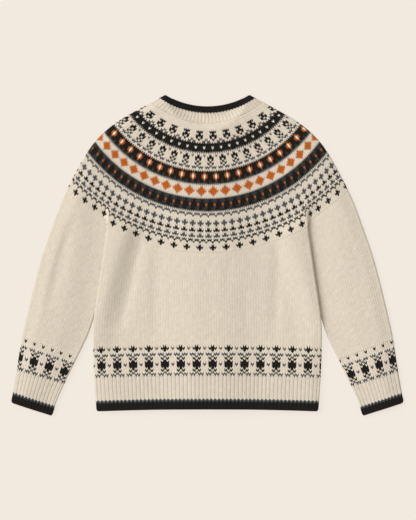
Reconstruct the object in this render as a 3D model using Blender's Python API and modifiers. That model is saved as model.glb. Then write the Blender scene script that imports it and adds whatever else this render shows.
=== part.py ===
"""Fair isle yoke cardigan in heavy wool, lying flat with its back up.

The neck points to +Y, the hem to -Y, and the surface it lies on is z = 0. Every panel is a wall of
knitted cloth. The fronts lie on the surface, the back lies on the fronts, and at the sides the two
meet half way up a soft fold. The sleeves and cuffs are flat tubes. The body's sides lie on the
inner edges of the sleeves and lift over them. The two front bands overlap at the centre, with the
buttons under them, and the back rises over that stack.
"""

import math
from collections import namedtuple

import bmesh
import bpy

# The cloth and its folds.
WALL = 0.003  # thickness of the knitted cloth
AIR = 0.001  # loose space between two layers
SEAM = 0.0003  # gap between neighbouring pieces
FOLD = WALL + AIR / 2  # radius of a folded edge
DOUBLE = 2 * FOLD  # height of two layers lying flat
CORNER = 0.006  # radius of the rounded corners of bands and cuffs

# The yoke: the y of its rows at the centre back.
NECK_EDGE = 0.3125  # cast-off edge of the neckband
NECK_SEAM = 0.2709  # neckband to yoke
BASE = 0.0053  # yoke to body and sleeves
NECK_DROP = 0.052  # how much lower the neck is cut in front

# The hem and the cuffs.
HEM_TOP = -0.2516  # where the hem rib starts, at the centre
HEM_EDGE = -0.3240  # bottom edge, at the centre
HEM_BOW = 0.0046  # how much lower the bottom edge is at the sides
CUFF_TOP = (-0.2694, -0.2394)  # y of the cuff rib's start, at its inner and outer edge
CUFF_EDGE = (-0.3388, -0.3102)  # y of the cuff's end, at its inner and outer edge

# The front bands and buttons.
BAND = 0.035  # width of a band
BUTTON_COUNT = 7
BUTTON_RADIUS = 0.009
BUTTON_THICK = 0.003
BUTTON_BEVEL = 0.0007
BUTTON_HOLE = 0.0011  # radius of a sewing hole
BUTTON_HOLE_OFFSET = 0.0021  # of a hole from the button's axes
BUTTON_LOW = -0.285  # y of the lowest button
BUTTON_HIGH = 0.240  # y of the highest button

# How the upper layers drape.
FOOT = 0.141  # x where the body starts to lift onto a sleeve, at y = 0
FOOT_LEAN = 0.235  # how fast that foot moves outwards down the body
LIFT_LOW, LIFT_HIGH = -0.240, -0.165  # y between which a sleeve's edge leaves the body
CREASE = 0.010  # width over which the yoke drops from the body's side to the sleeve
CREASE_FADE = 0.040  # how far the crease runs up into the yoke
BAND_SLOPE = 0.100  # width over which a layer comes down beside the bands
NECK_SINK = 0.030  # width over which the back sinks into the open front neck
CROWN = 0.0036  # fullness of the upper layer
CROWN_EDGE = 0.034  # width of the fullness's rounded edge
TUCK, TUCK_DEPTH = 0.014, 0.55  # width of the dip along the body's side, and its share of the crown
SLEEVE_FLAT = 0.009  # how far past the body's side a sleeve stays flat
SLEEVE_RISE = 0.060  # width over which it then rises to its fullness

Edge = namedtuple("Edge", "y x")
Row = namedtuple("Row", "y radius")
Crease = namedtuple("Crease", "x_top y_top x_low y_low left right depth")
Arc = namedtuple("Arc", "depth radius reach")
Column = namedtuple("Column", "share inset rise inner_inset inner_rise")
Step = namedtuple("Step", "inset rise inner_inset inner_rise")

# Half width of the outline, from the neckband's tip down the shoulder and sleeve to the cuff.
CONTOUR = (
    Edge(y=0.3371, x=0.0890),
    Edge(y=0.3129, x=0.1334),
    Edge(y=0.2793, x=0.1911),
    Edge(y=0.2457, x=0.2300),
    Edge(y=0.2121, x=0.2552),
    Edge(y=0.1617, x=0.2835),
    Edge(y=0.1113, x=0.3077),
    Edge(y=0.0609, x=0.3266),
    Edge(y=-0.0063, x=0.3497),
    Edge(y=-0.0903, x=0.3717),
    Edge(y=-0.1743, x=0.3906),
    Edge(y=-0.2415, x=0.4011),
    Edge(y=-0.3087, x=0.4128),
)
# Half width to the inner edge of the sleeve, which the body hides down to its middle.
SLEEVE_INNER = (
    Edge(y=0.0458, x=0.1754),
    Edge(y=-0.0315, x=0.2037),
    Edge(y=-0.1386, x=0.2400),
    Edge(y=-0.1743, x=0.2532),
    Edge(y=-0.2415, x=0.2858),
    Edge(y=-0.3087, x=0.3166),
    Edge(y=-0.3388, x=0.3245),
)
# Half width of the body, from the underarm to the hem.
BODY_SIDE = (
    Edge(y=0.0651, x=0.2105),
    Edge(y=-0.0370, x=0.2250),
    Edge(y=-0.1386, x=0.2394),
    Edge(y=-0.1995, x=0.2405),
    Edge(y=-0.2583, x=0.2385),
    Edge(y=-0.3286, x=0.2340),
)
# The yoke's rows are arcs: the radius of the row that crosses the centre back at y.
YOKE_ROWS = (
    Row(y=0.3125, radius=0.1737),
    Row(y=0.2709, radius=0.1806),
    Row(y=0.2255, radius=0.1974),
    Row(y=0.1644, radius=0.2541),
    Row(y=0.1042, radius=0.3045),
    Row(y=0.0053, radius=0.3990),
)
# The long soft creases in the upper layer; left and right are the widths of a crease's slopes.
CREASES = (
    Crease(-0.138, 0.060, -0.188, -0.165, left=0.028, right=0.016, depth=0.0034),
    Crease(-0.106, 0.020, -0.108, -0.185, left=0.014, right=0.014, depth=0.0011),
    Crease(0.044, 0.000, 0.040, -0.100, left=0.010, right=0.010, depth=0.0005),
    Crease(0.078, -0.060, 0.084, -0.180, left=0.010, right=0.010, depth=0.0006),
    Crease(0.151, 0.045, 0.139, -0.190, left=0.015, right=0.013, depth=0.0018),
    Crease(-0.284, 0.085, -0.336, -0.115, left=0.012, right=0.016, depth=0.0020),
    Crease(-0.226, 0.075, -0.240, -0.015, left=0.011, right=0.011, depth=0.0006),
    Crease(0.300, 0.055, 0.333, -0.075, left=0.012, right=0.012, depth=0.0006),
    Crease(0.232, 0.066, 0.246, 0.010, left=0.011, right=0.011, depth=0.0006),
)

# A wall's way round a folded edge, outside and inside: how far in from the edge, and how far up
# from mid height, both in fold radii. A panel starts with a short upright lip, where it meets the
# panel under it. A tube goes right round.
LIP = (
    Step(inset=0.00, rise=SEAM / 2 / FOLD, inner_inset=0.86, inner_rise=SEAM / 2 / FOLD),
    Step(inset=0.00, rise=0.30, inner_inset=0.86, inner_rise=0.07),
    Step(inset=0.25, rise=0.75, inner_inset=0.88, inner_rise=0.10),
    Step(inset=0.65, rise=0.95, inner_inset=0.93, inner_rise=0.13),
)
TUBE_ROUND = (
    Step(inset=0.12, rise=0.50, inner_inset=0.88, inner_rise=0.06),
    Step(inset=0.50, rise=0.87, inner_inset=0.93, inner_rise=0.11),
)
TUBE_EDGE = Step(inset=0.0, rise=0.0, inner_inset=0.86, inner_rise=0.0)

# Where a half panel's columns gather, as shares of it.
AT_BAND = 0.1  # at the edge of the bands
BESIDE_BAND = 0.4  # where the slope beside the bands ends
AT_FOOT = 0.5  # where the body starts to lift over the sleeve
AT_SLEEVE = 0.8  # where the body lies on the sleeve
BAND_CLEAR = BAND / 2 + 0.001
CREASE_STEPS = (0.35, 0.75, 1.2)  # columns across the drop to the sleeve, in crease widths
SLEEVE_COLUMNS = 5  # across the yoke over a sleeve
RIB_ROWS = (0.0, 0.15, 1.0)  # from the hem's edge up
CUFF_ROWS = (0.0, 0.82, 0.94, 1.0)  # from the sleeve down
SHARP = 50.0  # degrees between faces that show a sharp edge

# Wool and button colours.
CREAM = (0.72, 0.65, 0.54)
CREAM_RIB = (0.68, 0.61, 0.50)
PATTERNED = (0.30, 0.27, 0.23)
CHARCOAL = (0.02, 0.02, 0.018)
HORN = (0.035, 0.025, 0.018)
WOOL_ROUGHNESS = 0.95
BUTTON_ROUGHNESS = 0.35


def clamp(value):
    return min(max(value, 0.0), 1.0)


def smooth(value):
    value = clamp(value)
    return value * value * (3 - 2 * value)


def blend(a, b, share):
    return a + (b - a) * share


def read(table, y):
    """The second column of a table at y, on a smooth curve through its rows."""
    rows = sorted((row[0], row[1]) for row in table)
    last = len(rows) - 1
    slopes = []
    for i in range(last + 1):
        before, after = rows[max(i - 1, 0)], rows[min(i + 1, last)]
        slopes.append((after[1] - before[1]) / (after[0] - before[0]))
    if y <= rows[0][0]:
        return rows[0][1] + slopes[0] * (y - rows[0][0])
    if y >= rows[last][0]:
        return rows[last][1] + slopes[last] * (y - rows[last][0])
    i = max(k for k in range(last) if rows[k][0] <= y)
    span = rows[i + 1][0] - rows[i][0]
    t = (y - rows[i][0]) / span
    start = (1 + 2 * t) * (1 - t) ** 2 * rows[i][1] + t * (1 - t) ** 2 * span * slopes[i]
    end = t * t * (3 - 2 * t) * rows[i + 1][1] + t * t * (t - 1) * span * slopes[i + 1]
    return start + end


# Rows of the yoke ------------------------------------------------------------------------------


def on_arc(arc, angle):
    return arc.radius * math.sin(angle), arc.depth + arc.radius * (1 - math.cos(angle))


def arc_meets(arc, edge):
    """The angle at which an arc meets an edge of the outline."""
    low, high = 0.0, math.pi / 2
    for _ in range(40):
        middle = (low + high) / 2
        x, y = on_arc(arc, middle)
        if x < read(edge, y):
            low = middle
        else:
            high = middle
    return low


def back_arc(depth):
    arc = Arc(depth, read(YOKE_ROWS, depth), 0.0)
    return arc._replace(reach=arc_meets(arc, CONTOUR))


def front_arc(depth):
    """The front's half of a row: it has the back's end points and dips lower at the neck."""
    back = back_arc(depth)
    x, y = on_arc(back, back.reach)
    low = depth - NECK_DROP * (depth - BASE) / (NECK_EDGE - BASE)
    radius = (x * x + (y - low) ** 2) / (2 * (y - low))
    return Arc(low, radius, math.atan2(x, radius - (y - low)))


def arc_height(arc, x):
    """The y of an arc at x."""
    reach = min(abs(x) / arc.radius, 1.0)
    return arc.depth + arc.radius * (1 - math.sqrt(1 - reach * reach))


# How high each layer lies ----------------------------------------------------------------------


def above_base(x, y):
    """How far a point lies above the yoke's last row."""
    centre = BASE + BODY_TOP.radius
    return BODY_TOP.radius - math.hypot(x, y - centre)


def sleeve_lift(x, y):
    """How high the sleeve's edge underneath lifts the body and the foot of the yoke."""
    foot = FOOT - FOOT_LEAN * y
    rise = smooth((abs(x) - foot) / (read(SLEEVE_INNER, y) - foot))
    rise *= smooth((y - LIFT_LOW) / (LIFT_HIGH - LIFT_LOW))
    fall = 1 - smooth((abs(x) - read(BODY_SIDE, y)) / CREASE)
    fade = 1 - smooth(above_base(x, y) / CREASE_FADE)
    return (DOUBLE + SEAM) * rise * fall * fade


def band_share(x):
    """1 over the front bands, falling to 0 beside them."""
    return 1 - smooth((abs(x) - BAND_CLEAR) / BAND_SLOPE)


def creased(x, y):
    """The depth of the creases at a point."""
    depth = 0.0
    for crease in CREASES:
        along = (crease.y_top - y) / (crease.y_top - crease.y_low)
        across = x - blend(crease.x_top, crease.x_low, along)
        width = crease.left if across < 0 else crease.right
        ends = 1 - abs(2 * clamp(along) - 1) ** 3
        depth += crease.depth * ends * math.exp(-((across / width) ** 2))
    return depth


def fullness(x, y, on_sleeve=False):
    """The upper layer's soft fullness less its creases, nothing at the folded edges."""
    side = read(BODY_SIDE, y)
    if abs(x) < side and not on_sleeve:
        low = TUCK_DEPTH * math.exp(-(((side - abs(x)) / TUCK) ** 2))
    else:
        gap = abs(x) - max(side, read(SLEEVE_INNER, y)) - SLEEVE_FLAT
        low = 1 - smooth(gap / SLEEVE_RISE)
    fade = 1 - smooth(above_base(x, y) / CREASE_FADE)
    edge = smooth((read(CONTOUR, y) - abs(x)) / CROWN_EDGE)
    return edge * (1 - fade * low) * max(CROWN - creased(x, y), 0.0)


def back_top(x, y):
    """The height of the upper side of the back."""
    under = sleeve_lift(x, y) + WALL + AIR
    under += (INNER_BAND + WALL + SEAM - WALL - AIR) * band_share(x)
    if abs(x) < FRONT_NECK.radius:
        sunk = smooth((y - arc_height(FRONT_NECK, x)) / NECK_SINK)
        under *= 1 - sunk * smooth((read(CONTOUR, y) - abs(x)) / NECK_SINK)
    return under + WALL + fullness(x, y)


def front_under(x, y, band_height):
    """The height of the under side of a front, whose band lies band_height up."""
    return sleeve_lift(x, y) + band_height * band_share(x)


def body_height(x, y, rise, inner, band_height):
    """A point's height on the back, or on the front below it, on its way round a fold."""
    if rise == 1:
        return back_top(x, y) - (WALL if inner else 0.0)
    if rise == -1:
        return front_under(x, y, band_height) + (WALL if inner else 0.0)
    at_edge = max(abs(x), read(BODY_SIDE, y))
    return sleeve_lift(at_edge, y) + FOLD + rise * FOLD


# Columns across a panel ------------------------------------------------------------------------


def between(shares, level):
    """Columns across the flat of a panel, on the back, 1, or underneath, -1."""
    return [Column(share, abs(share), level, abs(share), level) for share in shares]


def round_edge(side, level, steps):
    """Columns round a folded edge, from mid height to the flat."""
    return [
        Column(side, step.inset, level * step.rise, step.inner_inset, level * step.inner_rise)
        for step in steps
    ]


def evenly(start, end, count):
    return [blend(start, end, i / count) for i in range(count + 1)]


def back_columns(shares):
    """From the left fold to the right one, over the top."""
    mirrored = [-share for share in reversed(shares)] + list(shares[1:])
    return round_edge(-1, 1, LIP) + between(mirrored, 1) + round_edge(1, 1, LIP)[::-1]


def front_columns(side, shares):
    """From the band to the fold, on the under side."""
    return between([side * share for share in shares], -1) + round_edge(side, -1, LIP)[::-1]


def tube_columns(count):
    """Round a flat tube from its inner edge, over the top and back underneath."""
    inner_edge, outer_edge = round_edge(-1, 1, [TUBE_EDGE]), round_edge(1, 1, [TUBE_EDGE])
    over = round_edge(-1, 1, TUBE_ROUND) + between(evenly(-1, 1, count), 1)
    over += round_edge(1, 1, TUBE_ROUND)[::-1]
    under = round_edge(1, -1, TUBE_ROUND) + between(evenly(1, -1, count), -1)
    under += round_edge(-1, -1, TUBE_ROUND)[::-1]
    return inner_edge + over + outer_edge + under + inner_edge


def between_stops(share, stops):
    """A place across a half panel, whose columns gather at named stops."""
    for (low, near), (high, far) in zip(stops, stops[1:]):
        if abs(share) <= high:
            return blend(near, far, (abs(share) - low) / (high - low))
    return stops[-1][1]


def body_side(share, y, start=0.0):
    """Half position across the body, with columns at the bands and at the lift over the sleeve."""
    side = read(BODY_SIDE, y)
    full = min(read(SLEEVE_INNER, y), side - DOUBLE)
    return between_stops(
        share,
        (
            (0.0, start),
            (AT_BAND, BAND_CLEAR),
            (BESIDE_BAND, BAND_CLEAR + BAND_SLOPE),
            (AT_FOOT, FOOT - FOOT_LEAN * y),
            (AT_SLEEVE, full),
            (1.0, side),
        ),
    )


def yoke_along(share, arc, start):
    """Half position along a row of the yoke, with columns at the bands."""
    half = arc.radius * arc.reach
    beside = arc.radius * math.asin(min((BAND_CLEAR + BAND_SLOPE) / arc.radius, 1.0))
    return between_stops(
        share,
        (
            (0.0, arc.radius * math.asin(start / arc.radius)),
            (AT_BAND, arc.radius * math.asin(BAND_CLEAR / arc.radius)),
            (BESIDE_BAND, min(beside, half / 2)),
            (1.0, half),
        ),
    )


def yoke_share(x):
    """The share of a column of the yoke that stands at x on the last row, beside the bands."""
    first = yoke_along(BESIDE_BAND, BODY_TOP, 0.0)
    along = BODY_TOP.radius * math.asin(x / BODY_TOP.radius)
    half = BODY_TOP.radius * BODY_TOP.reach
    return BESIDE_BAND + (1 - BESIDE_BAND) * (along - first) / (half - first)


def yoke_shares():
    """The yoke's columns stand over those of the body and then of the sleeve."""
    columns = between([share for share in BODY_SHARES if share > BESIDE_BAND], 1)
    beside = [place_body(column, 1, False, body_low, body_top)[0] for column in columns]
    beside += [BODY_SIDE[0].x + CREASE * step for step in CREASE_STEPS]
    shares = evenly(0.0, BESIDE_BAND, 4) + [yoke_share(x) for x in beside]
    return shares + evenly(shares[-1], 1.0, SLEEVE_COLUMNS)[1:]


# Places of the points --------------------------------------------------------------------------


def rounded(distance):
    """How far a rounded corner is cut back at a distance from the edge."""
    if distance >= CORNER:
        return 0.0
    return CORNER - math.sqrt(CORNER * CORNER - (CORNER - distance) ** 2)


def hem_line(y, x):
    """The y at x of a row that crosses the centre of the hem at y."""
    return y - HEM_BOW * (x / BODY_SIDE[-1].x) ** 2


def body_top(x):
    return arc_height(BODY_TOP, x)


def body_low(x):
    return hem_line(HEM_TOP + SEAM / 2, x)


def rib_top(x):
    return hem_line(HEM_TOP - SEAM / 2, x)


def rib_low(x):
    return hem_line(HEM_EDGE, x)


def side_of(column, inner):
    """A column's way in from the fold and up, on the outer or the inner side of the wall."""
    if inner:
        return column.inner_inset * FOLD, column.inner_rise
    return column.inset * FOLD, column.rise


def place_body(column, row, inner, low, high, start=0.0, band_height=0.0):
    """A point on a body panel: row is 0 at its lower edge and 1 at its upper edge."""
    inset, rise = side_of(column, inner)
    x = y = 0.0
    for _ in range(8):
        y = blend(low(x), high(x), row)
        x = math.copysign(body_side(column.share, y, start) - inset, column.share)
    if low is rib_low and row < 0.2:
        y += rounded(read(BODY_SIDE, y) - abs(x)) * (1 - row / 0.2)
    return x, y, body_height(x, y, rise, inner, band_height)


def place_yoke(column, depth, inner, make_arc, start=0.0, band_height=0.0):
    """A point on a yoke or neckband panel, on the arc of its row."""
    inset, rise = side_of(column, inner)
    arc = make_arc(depth)
    along = yoke_along(column.share, arc, start) - inset
    x, y = on_arc(arc, along / arc.radius)
    x = math.copysign(x, column.share)
    return x, y, body_height(x, y, rise, inner, band_height)


def place_sleeve(column, row, inner, top, end):
    """A point on a right sleeve or cuff: row is 0 at its upper end. top is None at the yoke."""
    inset, rise = side_of(column, inner)
    first, last = arc_meets(BODY_TOP, SLEEVE_INNER), BODY_TOP.reach
    if top is None:
        start_y = on_arc(BODY_TOP, first)[1], on_arc(BODY_TOP, last)[1]
    else:
        start_y = top
    inner_y, outer_y = blend(start_y[0], end[0], row), blend(start_y[1], end[1], row)
    near = (read(SLEEVE_INNER, inner_y), inner_y)
    far = (read(CONTOUR, outer_y), outer_y)
    half = math.dist(near, far) / 2
    from_middle = abs(column.share) * half - inset
    share = 0.5 + math.copysign(from_middle / half / 2, column.share)
    x, y = blend(near[0], far[0], share), blend(near[1], far[1], share)
    if top is None:
        arc = on_arc(BODY_TOP, blend(first, last, share))
        ends = zip(on_arc(BODY_TOP, first), on_arc(BODY_TOP, last))
        chord = [blend(a, b, share) for a, b in ends]
        x += (arc[0] - chord[0]) * (1 - row) ** 2
        y += (arc[1] - chord[1]) * (1 - row) ** 2
    elif row > 0.8:
        y += rounded(half - from_middle) * (row - 0.8) / 0.2
    return x, y, rise


def sleeve_height(x, y, rise, inner):
    """The height of a point on a flat tube at its real side, on its way round."""
    if rise == 1:
        return DOUBLE + fullness(x, y, on_sleeve=True) - (WALL if inner else 0.0)
    if rise == -1:
        return WALL if inner else 0.0
    return FOLD + rise * FOLD


# Making the pieces -----------------------------------------------------------------------------


def finish(name, mesh, colour, roughness, collection):
    """The piece as an object with its own material."""
    material = bpy.data.materials.new(name + "_material")
    material.use_nodes = True
    shader = material.node_tree.nodes["Principled BSDF"]
    shader.inputs["Base Color"].default_value = (*colour, 1.0)
    shader.inputs["Roughness"].default_value = roughness
    shader.inputs["Metallic"].default_value = 0.0
    piece = bpy.data.objects.new(name, mesh)
    piece.data.materials.append(material)
    collection.objects.link(piece)
    return piece


def wall(name, colour, collection, columns, rows, place, tube=False):
    """A knitted wall: a grid, extruded to give it an inner side, with both sides set in place."""
    across, along = len(columns) - 1, len(rows) - 1
    grid = bmesh.new()
    bmesh.ops.create_grid(grid, x_segments=across, y_segments=along, size=1.0)
    column_of = grid.verts.layers.int.new("column")
    row_of = grid.verts.layers.int.new("row")
    for vert in grid.verts:
        vert[column_of] = round((vert.co.x + 1) / 2 * across)
        vert[row_of] = round((vert.co.y + 1) / 2 * along)
    if tube:
        for vert in grid.verts:
            turn = 2 * math.pi * vert[column_of] / across
            vert.co = (math.cos(turn), math.sin(turn), vert.co.y)
        bmesh.ops.remove_doubles(grid, verts=grid.verts, dist=0.00001)
    made = bmesh.ops.extrude_face_region(grid, geom=grid.faces[:])
    inside = {part for part in made["geom"] if isinstance(part, bmesh.types.BMVert)}
    for vert in grid.verts:
        vert.co = place(columns[vert[column_of]], rows[vert[row_of]], vert in inside)
    bmesh.ops.recalc_face_normals(grid, faces=grid.faces)
    mesh = bpy.data.meshes.new(name)
    grid.to_mesh(mesh)
    grid.free()
    mesh.shade_smooth()
    mesh.set_sharp_from_angle(angle=math.radians(SHARP))
    return finish(name, mesh, colour, WOOL_ROUGHNESS, collection)


def build_back(collection):
    """The back and its hem rib."""
    columns = back_columns(BODY_SHARES)

    def on_back(column, row, inner):
        return place_body(column, row, inner, body_low, body_top)

    def on_rib(column, row, inner):
        return place_body(column, row, inner, rib_low, rib_top)

    wall("back", CREAM, collection, columns, BODY_ROWS, on_back)
    wall("hem_back", CREAM_RIB, collection, columns, RIB_ROWS, on_rib)


def build_front(side, name, band_height, collection):
    """One front and its hem rib, from the band's edge to the side fold."""
    start = BAND / 2 + SEAM / 2
    columns = front_columns(side, [0.0] + [s for s in BODY_SHARES if s > AT_BAND])

    def on_front(column, row, inner):
        return place_body(column, row, inner, body_low, body_top, start, band_height)

    def on_rib(column, row, inner):
        return place_body(column, row, inner, rib_low, rib_top, start, band_height)

    wall("front_" + name, CREAM, collection, columns, BODY_ROWS, on_front)
    wall("hem_front_" + name, CREAM_RIB, collection, columns, RIB_ROWS, on_rib)


def build_yoke_back(collection):
    """The back half of the yoke, and of the neckband."""
    depths = evenly(BASE + SEAM / 2, BASE + CREASE_FADE, 2)
    depths += evenly(BASE + CREASE_FADE, NECK_SEAM - SEAM / 2, 6)[1:]

    def on_yoke(column, depth, inner):
        return place_yoke(column, depth, inner, back_arc)

    wall("yoke_back", PATTERNED, collection, back_columns(yoke_shares()), depths, on_yoke)
    columns = back_columns(evenly(0, 1, 10))
    depths = evenly(NECK_SEAM + SEAM / 2, NECK_EDGE, 3)
    wall("neckband_back", CHARCOAL, collection, columns, depths, on_yoke)


def build_yoke_front(side, name, band_height, collection):
    """One front quarter of the yoke, and of the neckband."""
    start = BAND / 2 + SEAM / 2

    def on_yoke(column, depth, inner):
        return place_yoke(column, depth, inner, front_arc, start, band_height)

    columns = front_columns(side, [0.0] + [s for s in yoke_shares() if s > AT_BAND * 1.5])
    depths = evenly(BASE + SEAM / 2, BASE + CREASE_FADE, 2)
    depths += evenly(BASE + CREASE_FADE, NECK_SEAM - SEAM / 2, 4)[1:]
    wall("yoke_front_" + name, PATTERNED, collection, columns, depths, on_yoke)
    columns = front_columns(side, [0.0] + evenly(2 * AT_BAND, 1, 8))
    depths = evenly(NECK_SEAM + SEAM / 2, NECK_EDGE, 3)
    wall("neckband_front_" + name, CHARCOAL, collection, columns, depths, on_yoke)


def build_sleeve(side, name, collection):
    """A sleeve from the yoke to the cuff, and the cuff: flat tubes, open at both ends."""
    sleeve_end = [y + SEAM / 2 for y in CUFF_TOP]
    cuff_top = [y - SEAM / 2 for y in CUFF_TOP]

    def on_tube(column, row, inner, top, end):
        x, y, rise = place_sleeve(column, row, inner, top, end)
        return side * x, y, sleeve_height(side * x, y, rise, inner)

    def on_sleeve(column, row, inner):
        return on_tube(column, row, inner, None, sleeve_end)

    def on_cuff(column, row, inner):
        return on_tube(column, row, inner, cuff_top, CUFF_EDGE)

    columns = tube_columns(SLEEVE_COLUMNS + 2)
    wall("sleeve_" + name, CREAM, collection, columns, evenly(0, 1, 8), on_sleeve, tube=True)
    wall("cuff_" + name, CREAM_RIB, collection, tube_columns(6), CUFF_ROWS, on_cuff, tube=True)


def build_band(name, height, left, right, collection):
    """A front band from the hem to the neck, flat, height above the surface."""

    def on_band(across, row, inner):
        x = blend(left, right, across)
        y = blend(rib_low(x), arc_height(FRONT_NECK, x), row)
        return x, y, height + (WALL if inner else 0.0)

    columns, rows = evenly(0, 1, 2), evenly(0, 1, 4)
    wall("button_band_" + name, CREAM_RIB, collection, columns, rows, on_band)


def button_holes(number, place, cutters):
    """The cutter for a button's four sewing holes."""
    holes = bmesh.new()
    for across in (-1, 1):
        for along in (-1, 1):
            made = bmesh.ops.create_cone(
                holes,
                cap_ends=True,
                segments=6,
                radius1=BUTTON_HOLE,
                radius2=BUTTON_HOLE,
                depth=BUTTON_THICK * 2,
            )
            offset = (across * BUTTON_HOLE_OFFSET, along * BUTTON_HOLE_OFFSET, 0.0)
            bmesh.ops.translate(holes, verts=made["verts"], vec=offset)
    mesh = bpy.data.meshes.new(f"holes_{number}")
    holes.to_mesh(mesh)
    holes.free()
    cutter = bpy.data.objects.new(f"holes_{number}", mesh)
    cutter.location = place
    cutter.hide_render = True
    cutter.display_type = "WIRE"
    cutters.objects.link(cutter)
    return cutter


def build_button(number, y, cutters, collection):
    """A round button with four sewing holes, under the bands."""
    disc = bmesh.new()
    bmesh.ops.create_cone(
        disc,
        cap_ends=True,
        segments=18,
        radius1=BUTTON_RADIUS,
        radius2=BUTTON_RADIUS,
        depth=BUTTON_THICK,
    )
    mesh = bpy.data.meshes.new(f"button_{number}")
    disc.to_mesh(mesh)
    disc.free()
    button = finish(f"button_{number}", mesh, HORN, BUTTON_ROUGHNESS, collection)
    button.location = (0.0, y, BUTTON_THICK / 2)
    bevel = button.modifiers.new("Rim", "BEVEL")
    bevel.width = BUTTON_BEVEL
    bevel.segments = 1
    cut = button.modifiers.new("Holes", "BOOLEAN")
    cut.operation = "DIFFERENCE"
    cut.object = button_holes(number, button.location, cutters)


def build():
    for old in list(bpy.data.objects):
        bpy.data.objects.remove(old)
    garment = bpy.data.collections.new("fair_isle_cardigan")
    cutters = bpy.data.collections.new("cutters")
    for collection in (garment, cutters):
        bpy.context.scene.collection.children.link(collection)
    build_back(garment)
    build_yoke_back(garment)
    for side, name, band_height in ((-1, "left", INNER_BAND), (1, "right", OUTER_BAND)):
        build_front(side, name, band_height, garment)
        build_yoke_front(side, name, band_height, garment)
        build_sleeve(side, name, garment)
    build_band("left", INNER_BAND, SEAM / 2 - BAND / 2, BAND / 2, garment)
    build_band("right", OUTER_BAND, -BAND / 2, BAND / 2 - SEAM / 2, garment)
    for i, y in enumerate(evenly(BUTTON_LOW, BUTTON_HIGH, BUTTON_COUNT - 1)):
        build_button(i + 1, y, cutters, garment)


BODY_TOP = back_arc(BASE - SEAM / 2)
FRONT_NECK = front_arc(NECK_EDGE)
OUTER_BAND = BUTTON_THICK + SEAM  # height of the buttonhole band's under side
INNER_BAND = OUTER_BAND + WALL + SEAM  # height of the button band's under side
BODY_SHARES = (
    evenly(0.0, BESIDE_BAND, 4)
    + evenly(BESIDE_BAND, AT_FOOT, 2)[1:]
    + evenly(AT_FOOT, AT_SLEEVE, 4)[1:]
    + evenly(AT_SLEEVE, 1.0, 2)[1:]
)
BODY_ROWS = evenly(0.0, 1.0, 9)

build()
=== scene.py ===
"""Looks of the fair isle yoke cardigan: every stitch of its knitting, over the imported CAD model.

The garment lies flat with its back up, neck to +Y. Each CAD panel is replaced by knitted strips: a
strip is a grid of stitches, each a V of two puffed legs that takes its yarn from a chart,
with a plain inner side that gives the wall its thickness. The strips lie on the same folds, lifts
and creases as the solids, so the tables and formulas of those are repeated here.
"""

import math
from collections import namedtuple

import bpy
import numpy as np
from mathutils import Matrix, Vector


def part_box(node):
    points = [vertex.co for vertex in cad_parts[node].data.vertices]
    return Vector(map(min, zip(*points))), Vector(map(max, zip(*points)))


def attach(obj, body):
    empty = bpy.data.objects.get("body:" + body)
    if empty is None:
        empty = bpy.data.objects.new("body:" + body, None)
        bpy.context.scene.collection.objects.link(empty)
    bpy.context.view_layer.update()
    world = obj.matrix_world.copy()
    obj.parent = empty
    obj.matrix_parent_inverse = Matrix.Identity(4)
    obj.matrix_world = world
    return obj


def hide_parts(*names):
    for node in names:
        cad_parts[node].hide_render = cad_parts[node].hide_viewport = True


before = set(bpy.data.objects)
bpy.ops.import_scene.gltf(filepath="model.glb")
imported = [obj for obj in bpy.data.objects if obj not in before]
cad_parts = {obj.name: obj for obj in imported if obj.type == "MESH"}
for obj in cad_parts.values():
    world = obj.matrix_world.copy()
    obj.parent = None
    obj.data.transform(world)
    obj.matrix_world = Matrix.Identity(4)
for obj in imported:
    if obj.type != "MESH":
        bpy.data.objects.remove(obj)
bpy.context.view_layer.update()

RNG = np.random.default_rng(18)

# --- The form of the solids ---

WALL = 0.003  # thickness of the knitted cloth
AIR = 0.001  # loose space between two layers
SEAM = 0.0003  # gap between neighbouring pieces
FOLD = WALL + AIR / 2  # radius of a folded edge
DOUBLE = 2 * FOLD  # height of two layers lying flat
CORNER = 0.006  # radius of the rounded corners of hem and cuffs
CORNER_SHARE = 0.2  # share of the rib's height over which they are rounded
NECK_EDGE = 0.3125  # y of the neckband's cast-off edge, at the centre back
NECK_SEAM = 0.2709  # neckband to yoke
BASE = 0.0053  # yoke to body and sleeves
NECK_DROP = 0.052  # how much lower the neck is cut in front
BAND_TOP = -0.1890  # where the body's colour band starts
HEM_TOP = -0.2516  # where the hem rib starts
HEM_EDGE = -0.3240  # bottom edge
HEM_BOW = 0.0046  # how much lower the bottom edge is at the sides
CUFF_TOP = (-0.2694, -0.2394)  # y of the cuff rib's start, at its inner and outer edge
CUFF_EDGE = (-0.3388, -0.3102)  # y of the cuff's end, at its inner and outer edge
BAND = 0.035  # width of a front band
BUTTON_COUNT = 7
BUTTON_RADIUS = 0.009
BUTTON_THICK = 0.003
BUTTON_HOLE = 0.0011
BUTTON_HOLE_OFFSET = 0.0021
BUTTON_RIM = 0.0009  # rounding of its edge
BUTTON_DISH, BUTTON_DISH_RADIUS = 0.0010, 0.0062  # depth and radius of its sunk face
BUTTON_SIDES, BUTTON_HOLE_SIDES = 48, 20
THREAD = 0.0005
THREAD_LAYERS = {-1: 0.6, 1: 1.5}  # how far under the sunk face each stitch lies, in threads
THREAD_TURN, THREAD_BEND = 0.8, 0.0006  # where it turns into its hole, and how steeply
FOOT = 0.141  # x where the body starts to lift onto a sleeve, at y = 0
FOOT_LEAN = 0.235  # how fast that foot moves outwards down the body
LIFT_LOW, LIFT_HIGH = -0.240, -0.165  # y where the lift starts and is whole
CREASE = 0.010  # width over which the yoke drops from the body's side to the sleeve
CREASE_FADE = 0.040  # how far the crease runs up into the yoke
BAND_SLOPE = 0.100  # width over which a layer comes down beside the bands
BAND_START = BAND / 2 + SEAM / 2  # x of a front's edge at its band
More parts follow.
